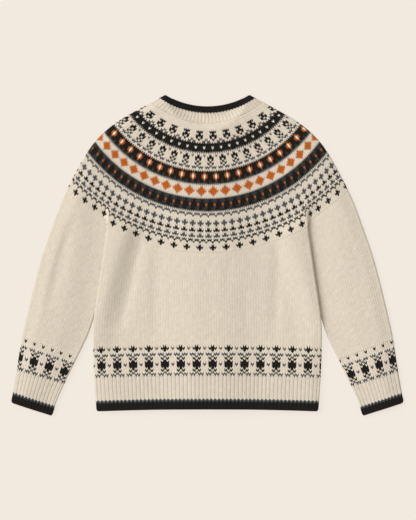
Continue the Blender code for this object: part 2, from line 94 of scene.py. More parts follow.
BAND_CLEAR = BAND / 2 + 0.001
NECK_SINK = 0.030  # width over which the back sinks into the open front neck
CROWN = 0.0036  # fullness of the upper layer
CROWN_EDGE = 0.034  # width of the fullness's rounded edge
TUCK, TUCK_DEPTH = 0.014, 0.55  # width and depth of the body's rounding at its side
SLEEVE_FLAT = 0.009  # how far past the body's side a sleeve stays flat
SLEEVE_RISE = 0.060  # width over which it then rises to its fullness
OUTER_BAND = BUTTON_THICK + SEAM  # height of the buttonhole band's under side
INNER_BAND = OUTER_BAND + WALL + SEAM  # height of the button band's under side

Edge = namedtuple("Edge", "y x")
Row = namedtuple("Row", "y radius")
Crease = namedtuple("Crease", "x_top y_top x_low y_low left right depth")
Arc = namedtuple("Arc", "depth radius reach")
Hitch = namedtuple("Hitch", "rise rise_reach drop drop_reach")

# Half width of the outline, from the neckband's tip down the shoulder and sleeve to the cuff.
CONTOUR = (
    Edge(0.3371, 0.0890),
    Edge(0.3129, 0.1334),
    Edge(0.2793, 0.1911),
    Edge(0.2457, 0.2300),
    Edge(0.2121, 0.2552),
    Edge(0.1617, 0.2835),
    Edge(0.1113, 0.3077),
    Edge(0.0609, 0.3266),
    Edge(-0.0063, 0.3497),
    Edge(-0.0903, 0.3717),
    Edge(-0.1743, 0.3906),
    Edge(-0.2415, 0.4011),
    Edge(-0.3087, 0.4128),
)
# Half width to the inner edge of the sleeve, which the body hides down to its middle.
SLEEVE_INNER = (
    Edge(0.0458, 0.1754),
    Edge(-0.0315, 0.2037),
    Edge(-0.1386, 0.2400),
    Edge(-0.1743, 0.2532),
    Edge(-0.2415, 0.2858),
    Edge(-0.3087, 0.3166),
    Edge(-0.3388, 0.3245),
)
# Half width of the body, from the underarm to the hem.
BODY_SIDE = (
    Edge(0.0651, 0.2105),
    Edge(-0.0370, 0.2250),
    Edge(-0.1386, 0.2394),
    Edge(-0.1995, 0.2405),
    Edge(-0.2583, 0.2385),
    Edge(-0.3286, 0.2340),
)
# The yoke's rows are arcs: the radius of the row that crosses the centre back at y.
YOKE_ROWS = (
    Row(0.3125, 0.1737),
    Row(0.2709, 0.1806),
    Row(0.2255, 0.1974),
    Row(0.1644, 0.2541),
    Row(0.1042, 0.3045),
    Row(0.0053, 0.3990),
)
# The long soft creases in the upper layer: each one's upper and lower end, the widths of its
# slopes to the left and right, and its depth.
CREASES = (
    Crease(-0.138, 0.060, -0.188, -0.165, left=0.028, right=0.016, depth=0.0034),
    Crease(-0.106, 0.020, -0.108, -0.185, left=0.014, right=0.014, depth=0.0011),
    Crease(0.044, 0.000, 0.040, -0.100, left=0.010, right=0.010, depth=0.0005),
    Crease(0.078, -0.060, 0.084, -0.180, left=0.010, right=0.010, depth=0.0006),
    Crease(0.151, 0.045, 0.139, -0.190, left=0.015, right=0.013, depth=0.0018),
    Crease(-0.284, 0.085, -0.336, -0.115, left=0.012, right=0.016, depth=0.0020),
    Crease(-0.226, 0.075, -0.240, -0.015, left=0.011, right=0.011, depth=0.0006),
    Crease(0.300, 0.055, 0.333, -0.075, left=0.012, right=0.012, depth=0.0006),
    Crease(0.232, 0.066, 0.246, 0.010, left=0.011, right=0.011, depth=0.0006),
)
# At each underarm the fold of the body's side pulls its own rows down and the sleeve's rows up.
HITCHES = {
    -1: Hitch(rise=0.0069, rise_reach=0.065, drop=0.0030, drop_reach=0.020),
    1: Hitch(rise=0.0063, rise_reach=0.118, drop=0.0047, drop_reach=0.050),
}
HITCH_WIDTH = 0.006  # width of the turn from one to the other
HITCH_FADE = 0.050  # how far up and down it reaches
HITCH_EDGE = 0.030  # how far from the outline it ends
DRAWN = {-1: 0.0062, 1: 0.0118}  # how far stitches are drawn out along their row by the fold
DRAWN_WIDTH, DRAWN_POWER = 0.150, 1.2  # how far from the centre that is whole, how it grows
DRAWN_TURN = (-0.013, 0.036)  # where that ends past the fold, and how long the end is

# --- The knitting ---

SLANT = 0.90  # how far a stitch's middle points down, in rows
PUFF = 0.0010  # depth of the grooves round a leg
BESIDE, DOWN, ACROSS = 0.75, 0.5, 0.45  # grooves beside, down and across a stitch, in PUFFs
EASED = 0.4  # how much shallower the one across is where it meets another
DARKEST = 1.15  # depth at which a groove's painted shade is darkest, in PUFFs
SPREAD = 0.10  # how far a pattern stitch swells over a cream neighbour, in stitches
RIB_DEPTH = 0.0013  # depth of the purl channels in the ribbing
WOBBLE = 0.0003  # unevenness of the rows
WAVES = (310, 130, 410, 170)  # how fast that comes and goes, in radians to a metre
TONE = 0.014  # how much stitches differ in lightness
FIBRES, PATCHES = 0.55, 0.06  # how much the heather differs from fibre to fibre and by patches
PAINTED_SHADE = 0.28  # painted shade: how much the wool's colour is darkened in its deepest grooves
INSIDE = 0.0026  # depth of the inner side below the outer one
PURL = 0.0004  # height of the bumps of the inner side
MEETING = -0.31 * PUFF  # relief where two strips meet
TEETH = 1.6  # how much longer the stitches are there
UNDERLAP = 0.00005  # depth there of the lower strip's top row
UNDER_ROW, UNDER_END = -0.7 * PUFF, -1.1 * PUFF  # relief of the row hidden under the next strip
# Painted shade: how much the wool's colour is darkened where it turns under, at a seam,
# between the inner side's bumps, and at most.
PAINTED_FOLD_SHADE, SEAM_SHADE, INNER_SHADE, MOST_SHADE = 0.8, 0.6, 0.7, 1.5
RIM = 0.0012  # rounding of a free edge
RIDGE = 0.0060  # height of the ridge where the neckband is picked up
RIB_EDGE = 0.37  # half width of a rib's wale, in ribs
# Places across a rib: its channel, then its wale.
RIB_STEPS = (-0.5, -RIB_EDGE, -RIB_EDGE / 2, 0.0, RIB_EDGE / 2, RIB_EDGE)
RIB_HOLLOW = 0.35  # how deep the wale's edge lies, in channels
RIB_SHADES = (0.35, 0.65, 0.3)  # painted shade of the wale, and what depth and grooves add to it
STITCH_STEPS, ROW_STEPS = 4, 2  # cells across a stitch and up a row
UV_OUTER, UV_INNER, UV_INNER_WIDTH = 0.78, 0.80, 0.2  # how the two sides share the UV map

Yarn = namedtuple("Yarn", "colour heather")
YARNS = {
    ".": Yarn((0.785, 0.708, 0.606), 1.0),  # cream
    "K": Yarn((0.0105, 0.010, 0.0078), 0.8),  # charcoal
    "D": Yarn((0.040, 0.044, 0.045), 0.8),  # dark slate
    "S": Yarn((0.068, 0.080, 0.092), 0.8),  # slate
    "G": Yarn((0.14, 0.135, 0.125), 0.8),  # grey
    "O": Yarn((0.53, 0.125, 0.010), 0.6),  # orange
    "W": Yarn((0.83, 0.79, 0.72), 0.3),  # white
}

# Charts, one text per row from the neck down. Each row repeats across the strip, its middle
# letter at the strip's phase.
FLOWERS = (
    "......",
    "......",
    "......",
    "..KKK.",
    "...K..",
    "..KKK.",
    "..K.K.",
    "G..K..",
    ".D...D",
)
WHITE_DOTS = ("KKKK", "KKKK", "KKWK", "KKKK", "KDDKKK")
SMALL_FLOWERS = (
    "......",
    "G..K..",
    "..KKK.",
    "..K.K.",
    "...K..",
    "..K.K.",
    "...G..",
    ".SS.SS",
    "......",
)
BRIGHT_FLOWERS = ("KKKKKK", "KKKOKK", "KKOWOK", "KKOWOK", "KKKOKK", "DKKDKK", "DKDDDK")
DIAMONDS = ("......", "...O..", "..OOO.", ".OOOOO", "..OOO.", "...O..", "......")
ORANGE_DOTS = ("KKDK", "KDDD", "KKDK", "KKOK", "KKDK", "KDDK", "KKKK")
SCALLOPS = (
    "....",
    "SS.S",
    "..S.",
    "....",
    "....",
    "..S.",
    ".SSS",
    "..S.",
    "....",
    "..K.",
    ".KKK",
    "....",
    "..S.",
    ".SSS",
    "....",
)
LARGE_SCALLOPS = (
    "KK.KK.",
    "..G..K",
    "......",
    ".....K",
    "K...KK",
    ".....K",
    "......",
)
Strip = namedtuple("Strip", "top wales phase chart")
YOKE = (
    Strip(top=NECK_SEAM, wales=66, phase=2.5, chart=FLOWERS),
    Strip(top=0.2352, wales=82, phase=-1.5, chart=WHITE_DOTS),
    Strip(top=0.2138, wales=96, phase=1.5, chart=SMALL_FLOWERS),
    Strip(top=0.1766, wales=120, phase=-1.5, chart=BRIGHT_FLOWERS),
    Strip(top=0.1477, wales=127, phase=3, chart=DIAMONDS),
    Strip(top=0.1193, wales=132, phase=-0.5, chart=ORANGE_DOTS),
    Strip(top=0.0912, wales=150, phase=0.5, chart=SCALLOPS + LARGE_SCALLOPS),
)
LATTICE = (
    ".SS.SS",
    "...G..",
    "..K.K.",
    "...K..",
    "..KKK.",
    "S.KKK.",
    "..KKK.",
    "...K..",
    "..K.K.",
    "...G..",
    ".SS.SS",
)
HEM_CHART = ("...K..", "G.KKK.", "...K..", "......") + LATTICE
BODY_WALES, HEM_PHASE, BODY_ROWS = 87, 2, 46
SLEEVE_WALES, SLEEVE_ROWS = 56, 76
# The band above each cuff: a row of single stitches, plain rows, then the lattice.
DOTS_CHART, DOTS_WALES = ("....", "..K.", "....", "...."), 52
Wrist = namedtuple("Wrist", "rib_top row dots_phase wales phase")
WRISTS = {
    "left": Wrist(rib_top=CUFF_TOP, row=0.0048, dots_phase=1.5, wales=42, phase=-0.5),
    "right": Wrist(rib_top=(-0.2750, -0.2425), row=0.0047, dots_phase=-1.5, wales=45, phase=-2),
}
# Ribs, and the yarn of each of their rows from the top down.
HEM_RIBS, CUFF_RIBS, NECK_RIBS = 58, 27, 33
EDGE_ROWS, NECK_ROWS, BAND_ROWS = "............SKKKK", "KKKK......", "........"
BAND_RIB = 0.0066  # height of a rib of the front bands
# What a front has: half the back's stitches or ribs, less those that its band takes.
FRONT_WALES, FRONT_HEM_RIBS = BODY_WALES // 2 - 3, HEM_RIBS // 2 - 2
FRONT_NECK_RIBS, FRONT_YOKE_LESS = NECK_RIBS // 2 - 3, 4


# --- Curves ---


def smooth(value):
    """From 0 to 1 with level ends."""
    value = np.clip(value, 0.0, 1.0)
    return value * value * (3 - 2 * value)


def blend(a, b, share):
    """From a to b."""
    return a + (b - a) * share


def curve(table):
    """The second column of a table as a function of the first, smooth through its rows."""
    rows = np.array(sorted((row[0], row[1]) for row in table))
    places, values = rows[:, 0], rows[:, 1]
    before = np.maximum(np.arange(len(rows)) - 1, 0)
    after = np.minimum(np.arange(len(rows)) + 1, len(rows) - 1)
    slopes = (values[after] - values[before]) / (places[after] - places[before])

    def at(y):
        i = np.clip(np.searchsorted(places, y, side="right") - 1, 0, len(rows) - 2)
        span = places[i + 1] - places[i]
        t = np.clip((y - places[i]) / span, 0.0, 1.0)
        start = (1 + 2 * t) * (1 - t) ** 2 * values[i] + t * (1 - t) ** 2 * span * slopes[i]
        end = t * t * (3 - 2 * t) * values[i + 1] + t * t * (t - 1) * span * slopes[i + 1]
        past = np.where(y > places[-1], y - places[-1], 0.0) * slopes[-1]
        return start + end + past + np.where(y < places[0], y - places[0], 0.0) * slopes[0]

    return at


contour, sleeve_inner, body_side = curve(CONTOUR), curve(SLEEVE_INNER), curve(BODY_SIDE)
row_radius = curve(YOKE_ROWS)


def on_arc(arc, angle):
    """The point of an arc at an angle from its middle."""
    return arc.radius * np.sin(angle), arc.depth + arc.radius * (1 - np.cos(angle))


def arc_meets(arc, edge):
    """The angle at which an arc meets an edge of the outline."""
    low, high = np.zeros_like(arc.depth), np.full_like(arc.depth, math.pi / 2)
    for _ in range(30):
        middle = (low + high) / 2
        x, y = on_arc(arc, middle)
        inside = x < edge(y)
        low, high = np.where(inside, middle, low), np.where(inside, high, middle)
    return low


def back_arc(depth):
    """The back's row that crosses the centre at a y."""
    arc = Arc(np.asarray(depth, float), row_radius(depth), 0.0)
    return arc._replace(reach=arc_meets(arc, contour))


def front_arc(depth):
    """The front's half of a row: it has the back's end points and dips lower at the neck."""
    back = back_arc(depth)
    x, y = on_arc(back, back.reach)
    low = depth - NECK_DROP * (depth - BASE) / (NECK_EDGE - BASE)
    radius = (x * x + (y - low) ** 2) / (2 * (y - low))
    return Arc(low, radius, np.arctan2(x, radius - (y - low)))


def arc_height(arc, x):
    """The y of an arc at x."""
    reach = np.minimum(np.abs(x) / arc.radius, 1.0)
    return arc.depth + arc.radius * (1 - np.sqrt(1 - reach * reach))


BODY_TOP = back_arc(BASE - SEAM / 2)
FRONT_NECK = front_arc(NECK_EDGE)


# --- How high each layer lies ---


def above_base(x, y):
    """How far a point lies above the yoke's last row."""
    centre = BASE + BODY_TOP.radius
    return BODY_TOP.radius - np.hypot(x, y - centre)


def sleeve_lift(x, y):
    """How high the sleeve's edge underneath lifts the body and the foot of the yoke."""
    foot = FOOT - FOOT_LEAN * y
    rise = smooth((np.abs(x) - foot) / (sleeve_inner(y) - foot))
    rise = rise * smooth((y - LIFT_LOW) / (LIFT_HIGH - LIFT_LOW))
    fall = 1 - smooth((np.abs(x) - body_side(y)) / CREASE)
    fade = 1 - smooth(above_base(x, y) / CREASE_FADE)
    return (DOUBLE + SEAM) * rise * fall * fade


def band_share(x):
    """1 over the front bands, falling to 0 beside them."""
    return 1 - smooth((np.abs(x) - BAND_CLEAR) / BAND_SLOPE)


def creased(x, y):
    """The depth of the creases at a point."""
    depth = 0.0
    for crease in CREASES:
        along = (crease.y_top - y) / (crease.y_top - crease.y_low)
        across = x - blend(crease.x_top, crease.x_low, along)
        width = np.where(across < 0, crease.left, crease.right)
        ends = 1 - np.abs(2 * np.clip(along, 0.0, 1.0) - 1) ** 3
        depth = depth + crease.depth * ends * np.exp(-((across / width) ** 2))
    return depth


def fullness(x, y, on_sleeve=False):
    """The upper layer's soft fullness less its creases, nothing at the folded edges."""
    side = body_side(y)
    gap = np.abs(x) - np.maximum(side, sleeve_inner(y)) - SLEEVE_FLAT
    low = 1 - smooth(gap / SLEEVE_RISE)
    if not on_sleeve:
        tuck = TUCK_DEPTH * np.exp(-(((side - np.abs(x)) / TUCK) ** 2))
        low = np.where(np.abs(x) < side, tuck, low)
    fade = 1 - smooth(above_base(x, y) / CREASE_FADE)
    edge = smooth((contour(y) - np.abs(x)) / CROWN_EDGE)
    return edge * (1 - fade * low) * np.maximum(CROWN - creased(x, y), 0.0)


def hitched(x, y):
    """How far up a row is pushed by the fold at the underarm."""
    past = np.abs(x) - body_side(y)
    push = 0.0
    for side, hitch in HITCHES.items():
        rise = hitch.rise * np.exp(-((past / hitch.rise_reach) ** 2))
        drop = hitch.drop * np.exp(-((past / hitch.drop_reach) ** 2))
        turn = smooth(past / HITCH_WIDTH + 0.5)
        push = push + (np.sign(x) == side) * blend(-drop, rise, turn)
    edge = smooth((contour(y) - np.abs(x)) / HITCH_EDGE)
    return push * edge * np.exp(-((above_base(x, y) / HITCH_FADE) ** 2))


def drawn(x, y):
    """How far along its row a stitch is drawn towards the fold at the underarm."""
    start, width = DRAWN_TURN
    ended = smooth((np.abs(x) - body_side(y) - start) / width)
    share = np.minimum(np.abs(x) / DRAWN_WIDTH, 1.0) ** DRAWN_POWER * (1 - ended)
    reach = np.where(x < 0, DRAWN[-1], DRAWN[1])
    return reach * share * np.exp(-((above_base(x, y) / HITCH_FADE) ** 2))


def back_top(x, y):
    """The height of the upper side of the back."""
    under = sleeve_lift(x, y) + WALL + AIR + (INNER_BAND + SEAM - AIR) * band_share(x)
    inside = np.minimum(np.abs(x), float(FRONT_NECK.radius))
    sunk = smooth((y - arc_height(FRONT_NECK, inside)) / NECK_SINK)
    sunk = sunk * (np.abs(x) < FRONT_NECK.radius) * smooth((contour(y) - np.abs(x)) / NECK_SINK)
    return under * (1 - sunk) + WALL + fullness(x, y)


# --- Surfaces: functions of the share across and the share up a strip ---


def turned(along, flat):
    """A way along cloth whose edge is folded at flat: its place across and its drop."""
    turn = np.clip((along - flat) / FOLD, 0.0, math.pi / 2)
    return np.minimum(along, flat) + FOLD * np.sin(turn), FOLD * (1 - np.cos(turn))


def rounded(distance):
    """How far a rounded corner is cut back at a distance from the edge."""
    near = np.clip(CORNER - distance, 0.0, CORNER)
    return CORNER - np.sqrt(CORNER * CORNER - near * near)


def hem_line(y, x):
    """The y at x of a row that crosses the centre of the hem at y."""
    return y - HEM_BOW * (x / BODY_SIDE[-1].x) ** 2


def half_of(across, band_height):
    """The share of the way out from the centre or the front band, and the side."""
    if band_height is not None:
        return across, 1.0
    return np.abs(2 * across - 1), np.sign(2 * across - 1)


def laid(x, y, side, drop, band_height):
    """A point of the back, or of the front whose band lies band_height up, in its place."""
    if band_height is not None:
        return x, y, sleeve_lift(x, y) + band_height * band_share(x) + drop
    x, y = side * x, y + hitched(side * x, y)
    return x, y, back_top(x, y) - drop


def body(low, high, band_height=None):
    """A stretch of the back or a front between two rows."""

    def top_line(x):
        return arc_height(BODY_TOP, x) if high is None else hem_line(high, x)

    def surface(across, up):
        share, side = half_of(across, band_height)
        start = 0.0 if band_height is None else BAND_START
        x = 0.2 * share  # a first guess, refined step by step
        for _ in range(8):
            y = blend(hem_line(low, x), top_line(x), up)
            flat = body_side(y) - FOLD
            along = blend(start, flat + FOLD * math.pi / 2, share)
            ratio = np.minimum(along / flat, 1.0)
            curved = BODY_TOP.radius * np.sin(ratio * np.arcsin(flat / BODY_TOP.radius))
            spread = np.clip((y - HEM_TOP) / (BASE - HEM_TOP), 0.0, 1.0) ** 2
            straight, drop = turned(along, flat)
            x = straight + (curved - ratio * flat) * spread
        if low == HEM_EDGE:
            y = y + rounded(body_side(y) - x) * np.clip(1 - up / CORNER_SHARE, 0.0, 1.0)
        return laid(x, y, side, drop, band_height)

    return surface


def yoke(low, high, band_height=None):
    """A stretch of the yoke or neckband between the rows at two depths."""

    def surface(across, up):
        front = band_height is not None
        depth = blend(low, high, up)
        arc = front_arc(depth) if front else back_arc(depth)
        flat = arc.radius * arc.reach - FOLD
        start = arc.radius * np.arcsin(BAND_START / arc.radius) if front else 0.0
        share, side = half_of(across, band_height)
        along = blend(start, flat + FOLD * math.pi / 2, share)
        if not front:
            x, y = on_arc(arc, along / arc.radius)
            along = along + drawn(side * x, y)
        along, drop = turned(along, flat)
        return laid(*on_arc(arc, along / arc.radius), side, drop, band_height)

    return surface


def tube(side, top, end, first=0.0, last=1.0):
    """A stretch of a sleeve or cuff, all round from its inner edge over the top."""
    low_angle, high_angle = arc_meets(BODY_TOP, sleeve_inner), BODY_TOP.reach
    ends = [on_arc(BODY_TOP, low_angle), on_arc(BODY_TOP, high_angle)]

    def surface(around, up):
        row = blend(last, first, up)
        start_y = (ends[0][1], ends[1][1]) if top is None else top
        near_y, far_y = blend(start_y[0], end[0], row), blend(start_y[1], end[1], row)
        near_x, far_x = sleeve_inner(near_y), contour(far_y)
        half = np.hypot(far_x - near_x, far_y - near_y) / 2
        on_top = around <= 0.5
        way = np.where(on_top, 2 * around, 2 - 2 * around) * 2 - 1
        along, drop = turned(np.abs(way) * (half - FOLD + FOLD * math.pi / 2), half - FOLD)
        share = 0.5 + np.sign(way) * along / half / 2
        x, y = blend(near_x, far_x, share), blend(near_y, far_y, share)
        if top is None:
            arc_x, arc_y = on_arc(BODY_TOP, blend(low_angle, high_angle, share))
            x = x + (arc_x - blend(ends[0][0], ends[1][0], share)) * (1 - row) ** 2
            y = y + (arc_y - blend(ends[0][1], ends[1][1], share)) * (1 - row) ** 2
        else:
            near_end = np.clip(row - (1 - CORNER_SHARE), 0.0, CORNER_SHARE)
            y = y + rounded(half - along) * near_end / CORNER_SHARE
        x = side * x
        y = y + np.where(on_top, hitched(x, y) * (1 - drop / FOLD), 0.0)
        above = DOUBLE + fullness(x, y, on_sleeve=True) * (1 - drop / FOLD) - drop
        return x, y, np.where(on_top, above, drop)

    return surface


def mirrored(surface):
    """A surface on the other side of the centre."""

    def other_side(across, up):
        x, y, z = surface(across, up)
        return -x, y, z

    return other_side


def front_band(left, right, height):
    """A front band, whose ribs run across it: share across is up the band, share up is across."""

    def surface(across, up):
        x = blend(left, right, up)
        low, high = hem_line(HEM_EDGE, x), arc_height(FRONT_NECK, x)
        return x, blend(low, high, across), height + 0.0 * x

    return surface


# --- Knitting ---

Knit = namedtuple("Knit", "points shades quads triangles colours uvs flat area")


def letters(chart, wales, phase=0.5):
    """The yarn of every stitch, rows from the lowest up."""
    places = np.floor(np.arange(wales) + 0.5 - wales / 2 - phase + 0.5).astype(int)
    rows = []
    for text in reversed(chart):
        rows.append([text[(place + len(text) // 2) % len(text)] for place in places])
    return np.array(rows)


def wobble(x, y):
    """A slow unevenness of the rows, from 0 to 1."""
    quick_x, slow_y, quick_y, slow_x = WAVES
    waves = np.sin(x * quick_x + 2 * np.sin(y * slow_y))
    waves = waves + np.sin(y * quick_y + 2 * np.sin(x * slow_x + 1))
    return waves / 4 + 0.5


def row_steps(rows, under):
    """The grid's lines up a strip, with the rows that go under the next one."""
    return np.arange(ROW_STEPS * (rows + under) + 1) / ROW_STEPS


def stitches(wales, rows, under):
    """The grid of a stocking stitch strip: places in stitches and rows, slant, relief, painted
    shade.
    """
    u, v = np.meshgrid(np.arange(STITCH_STEPS * wales + 1) / STITCH_STEPS, row_steps(rows, under))
    to_middle = 1 - np.abs(2 * (u % 1) - 1)
    groove = np.where(u % 1 == 0, BESIDE, np.where(u % 1 == 0.5, DOWN, 0.0))
    groove = groove + np.where((v % 1 == 0) & (v > 0), ACROSS * (1 - EASED * groove), 0.0)
    return u, v, SLANT * (0.5 - to_middle), -PUFF * groove, groove / DARKEST


def ribbing(ribs, rows, under):
    """The grid of a ribbed strip: raised wales between purl channels."""
    steps = np.append((np.arange(ribs)[:, None] + np.array(RIB_STEPS)).ravel(), ribs - 0.5)
    u, v = np.meshgrid(steps, row_steps(rows, under))
    across = np.abs(u - np.round(u + 1e-9))
    channel = np.isclose(across, 0.5)
    slant = np.where(channel, 0.0, SLANT * (across / RIB_EDGE - 0.5))
    depth = np.where(channel, 1.0, (across / RIB_EDGE) ** 2 * RIB_HOLLOW)
    groove = np.where(np.isclose(across, 0.0), DOWN, 0.0)
    groove = groove + ACROSS * np.where(channel, v % 1 == 0.5, v % 1 == 0)
    wale, deeper, grooved = RIB_SHADES
    shade = np.clip(wale + deeper * depth + grooved * groove, 0.0, 1.0)
    return u + 0.5, v, slant, -RIB_DEPTH * depth - PUFF * groove, shade


def per_cell(of_stitches, per_wale):
    """What a table says of each stitch, for each cell of the grid."""
    return np.repeat(np.repeat(of_stitches, ROW_STEPS, axis=0), per_wale, axis=1)


def swollen(u, v, yarns, per_wale):
    """The grid with its lines moved outwards round the stitches of a dark or orange pattern."""
    dark = (yarns != ".") & np.any((yarns == "K") | (yarns == "O"))
    dark = per_cell(dark, per_wale).astype(float)
    dark = np.pad(dark, 1, mode="edge")
    low_left, low_right = dark[:-1, :-1], dark[:-1, 1:]
    top_left, top_right = dark[1:, :-1], dark[1:, 1:]
    u = u + SPREAD / 2 * (low_left + top_left - low_right - top_right)
    return u, v + SPREAD / 2 * (low_left + low_right - top_left - top_right)


def normals_of(points, wrap):
    """Unit normals of a grid of points."""
    if wrap:
        points = np.concatenate([points[:, -2:-1], points, points[:, 1:2]], axis=1)
    up, across = np.gradient(points, axis=(0, 1))
    normals = np.cross(across, up)
    normals /= np.linalg.norm(normals, axis=2, keepdims=True) + 1e-12
    return normals[:, 1:-1] if wrap else normals


def bridge(outer, inner):
    """Triangles between the edge of the outer side and the edge of the inner one."""
    many, few = len(outer) - 1, len(inner) - 1
    faces, at = [], 0
    for i in range(many):
        while at < round((i + 0.5) / many * few):
            faces.append((outer[i], inner[at + 1], inner[at]))
            at += 1
        faces.append((outer[i], outer[i + 1], inner[at]))
    while at < few:
        faces.append((outer[many], inner[at + 1], inner[at]))
        at += 1
    return faces


def corners(grid):
    """The four corners of each cell of a grid, counter-clockwise."""
    cells = [grid[:-1, :-1], grid[:-1, 1:], grid[1:, 1:], grid[1:, :-1]]
    return np.stack([cell.reshape(-1, *grid.shape[2:]) for cell in cells], axis=1)


def grid_of(surface, across, up):
    """The points of a surface at shares across and up."""
    return np.stack(np.broadcast_arrays(*surface(across, up)), axis=2)


def area_of(points):
    """The area of a grid of points, from the diagonals of its cells."""
    one, other = points[1:, 1:] - points[:-1, :-1], points[1:, :-1] - points[:-1, 1:]
    return float(np.linalg.norm(np.cross(one, other), axis=2).sum() / 2)


def yarn_colours(letters_of, tones):
    """The colour of each stitch, a little lighter or darker than its yarn, and its heather."""
    table = {letter: (*yarn.colour, yarn.heather) for letter, yarn in YARNS.items()}
    colours = np.array([table[letter] for letter in letters_of.ravel()])
    colours = colours.reshape(*letters_of.shape, 4)
    colours[..., :3] *= (1 + TONE * tones * (0.5 + colours[..., 3]))[..., None]
    return colours


def knit(surface, yarns, make=stitches, top="under", low="over", sides="seam", flip=False):
    """A knitted strip. yarns holds the letter of each stitch, rows from the lowest up. Its top
    goes under the next strip, is a seam or is a free edge; its lower edge lies over the strip
    below, with long stitches or plainly, is a seam or is free; its sides are seams, free edges,
    or wrap round a tube."""
    rows, wales = yarns.shape
    per_wale = STITCH_STEPS if make is stitches else len(RIB_STEPS)
    wrap, out = sides == "wrap", -1 if flip else 1
    under = 1 if top == "under" else 0
    u, v, slant, relief, shade = make(wales, rows, under)
    over = low in ("over", "plainly over")
    if low == "over":
        slant[0] *= TEETH
    if not over:
        slant = slant * np.clip(v, 0.0, 1.0)
    if not under:
        slant = slant * np.clip(rows - v, 0.0, 1.0)
    if under:
        relief = np.where(v > rows - 1, np.minimum(relief, MEETING - UNDERLAP), relief)
        relief = np.where(v > rows, UNDER_ROW, relief)
        relief[-1] = UNDER_END
        yarns = np.concatenate([yarns, yarns[-1:]])
    swollen_u, swollen_v = swollen(u, v, yarns, per_wale)
    smooth_points = grid_of(surface, swollen_u / wales, (swollen_v + slant) / rows)
    if over:
        relief[0] = MEETING
    edge = np.zeros(u.shape, bool)
    # A seam's edge gets painted shade, a free edge none.
    for end, kind in ((0, low), (-1, top)):
        if kind in ("seam", "free"):
            edge[end], shade[end] = True, SEAM_SHADE * (kind == "seam")
    edge[:, [0, -1]] |= sides == "free"
    relief = relief - WOBBLE * wobble(smooth_points[..., 0], smooth_points[..., 1])
    relief = np.where(edge, -RIM, relief)
    normals = normals_of(smooth_points, wrap)
    points = smooth_points + out * normals * relief[..., None]
    # Painted shade where the cloth tilts away from lying flat, as where it turns under at a fold.
    shade = np.clip(shade + PAINTED_FOLD_SHADE * (1 - np.abs(normals[..., 2])), 0.0, MOST_SHADE)

    inner_u, inner_v = u[::ROW_STEPS, ::per_wale], v[::ROW_STEPS, ::per_wale]
    bumps = (np.add.outer(np.arange(inner_u.shape[0]), np.arange(inner_u.shape[1])) % 2)[..., None]
    inner_points = grid_of(surface, inner_u / wales, inner_v / rows)
    area = area_of(inner_points[: rows + 1])
    depth = INSIDE - PURL * bumps
    inner_points = inner_points - out * depth * normals_of(inner_points, wrap)

    outer = np.arange(u.size).reshape(u.shape)
    inner = np.arange(inner_u.size).reshape(inner_u.shape) + u.size
    if wrap:
        outer[:, -1], inner[:, -1] = outer[:, 0], inner[:, 0]
    rims = bridge(outer[0][::-1], inner[0][::-1]), bridge(outer[-1], inner[-1])
    if not wrap:
        left, right = bridge(outer[:, 0], inner[:, 0]), bridge(outer[::-1, -1], inner[::-1, -1])
        rims = rims[0] + left + right, rims[1]

    colours = yarn_colours(yarns, RNG.normal(0, 1, yarns.shape))
    row_colours = np.repeat(colours.mean(axis=1, keepdims=True), wales, axis=1)
    outer_colours = per_cell(colours, per_wale)
    rim_colours = [colours[0, :1]] * len(rims[0]) + [colours[-1, :1]] * len(rims[1])

    tall = rows + under
    places = np.stack([u / wales * UV_OUTER, v / tall], axis=2)
    inner_across = UV_INNER + inner_u / wales * UV_INNER_WIDTH
    inner_places = np.stack([inner_across, inner_v / tall], axis=2)
    triangles = np.array(rims[0] + rims[1])
    return Knit(
        points=np.concatenate([points.reshape(-1, 3), inner_points.reshape(-1, 3)]),
        # The inner side gets painted shade between its bumps.
        shades=np.concatenate([shade.ravel(), INNER_SHADE * (1 - bumps).ravel()]),
        quads=np.concatenate([corners(outer), corners(inner)[:, ::-1]])[:, ::out],
        triangles=triangles[:, ::out],
        colours=np.concatenate(
            [outer_colours.reshape(-1, 4), row_colours.reshape(-1, 4), *rim_colours]
        ),
        uvs=np.concatenate(
            [
                corners(places)[:, ::out].reshape(-1, 2),
                corners(inner_places)[:, ::-1][:, ::out].reshape(-1, 2),
                np.repeat(places.reshape(-1, 2)[triangles[:, 0]], 3, axis=0),
            ]
        ),
        flat=np.concatenate(
            [
                np.repeat(v[:-1, 0] >= rows, u.shape[1] - 1),
                np.zeros(inner_places[1:, 1:, 0].size, bool),
                np.full(len(rims[0]), over),
                np.full(len(rims[1]), top == "under"),
            ]
        ),
        area=area,
    )


def added(name, data):
    """A new object in the scene."""
    piece = bpy.data.objects.new(name, data)
    bpy.context.scene.collection.objects.link(piece)
    return piece


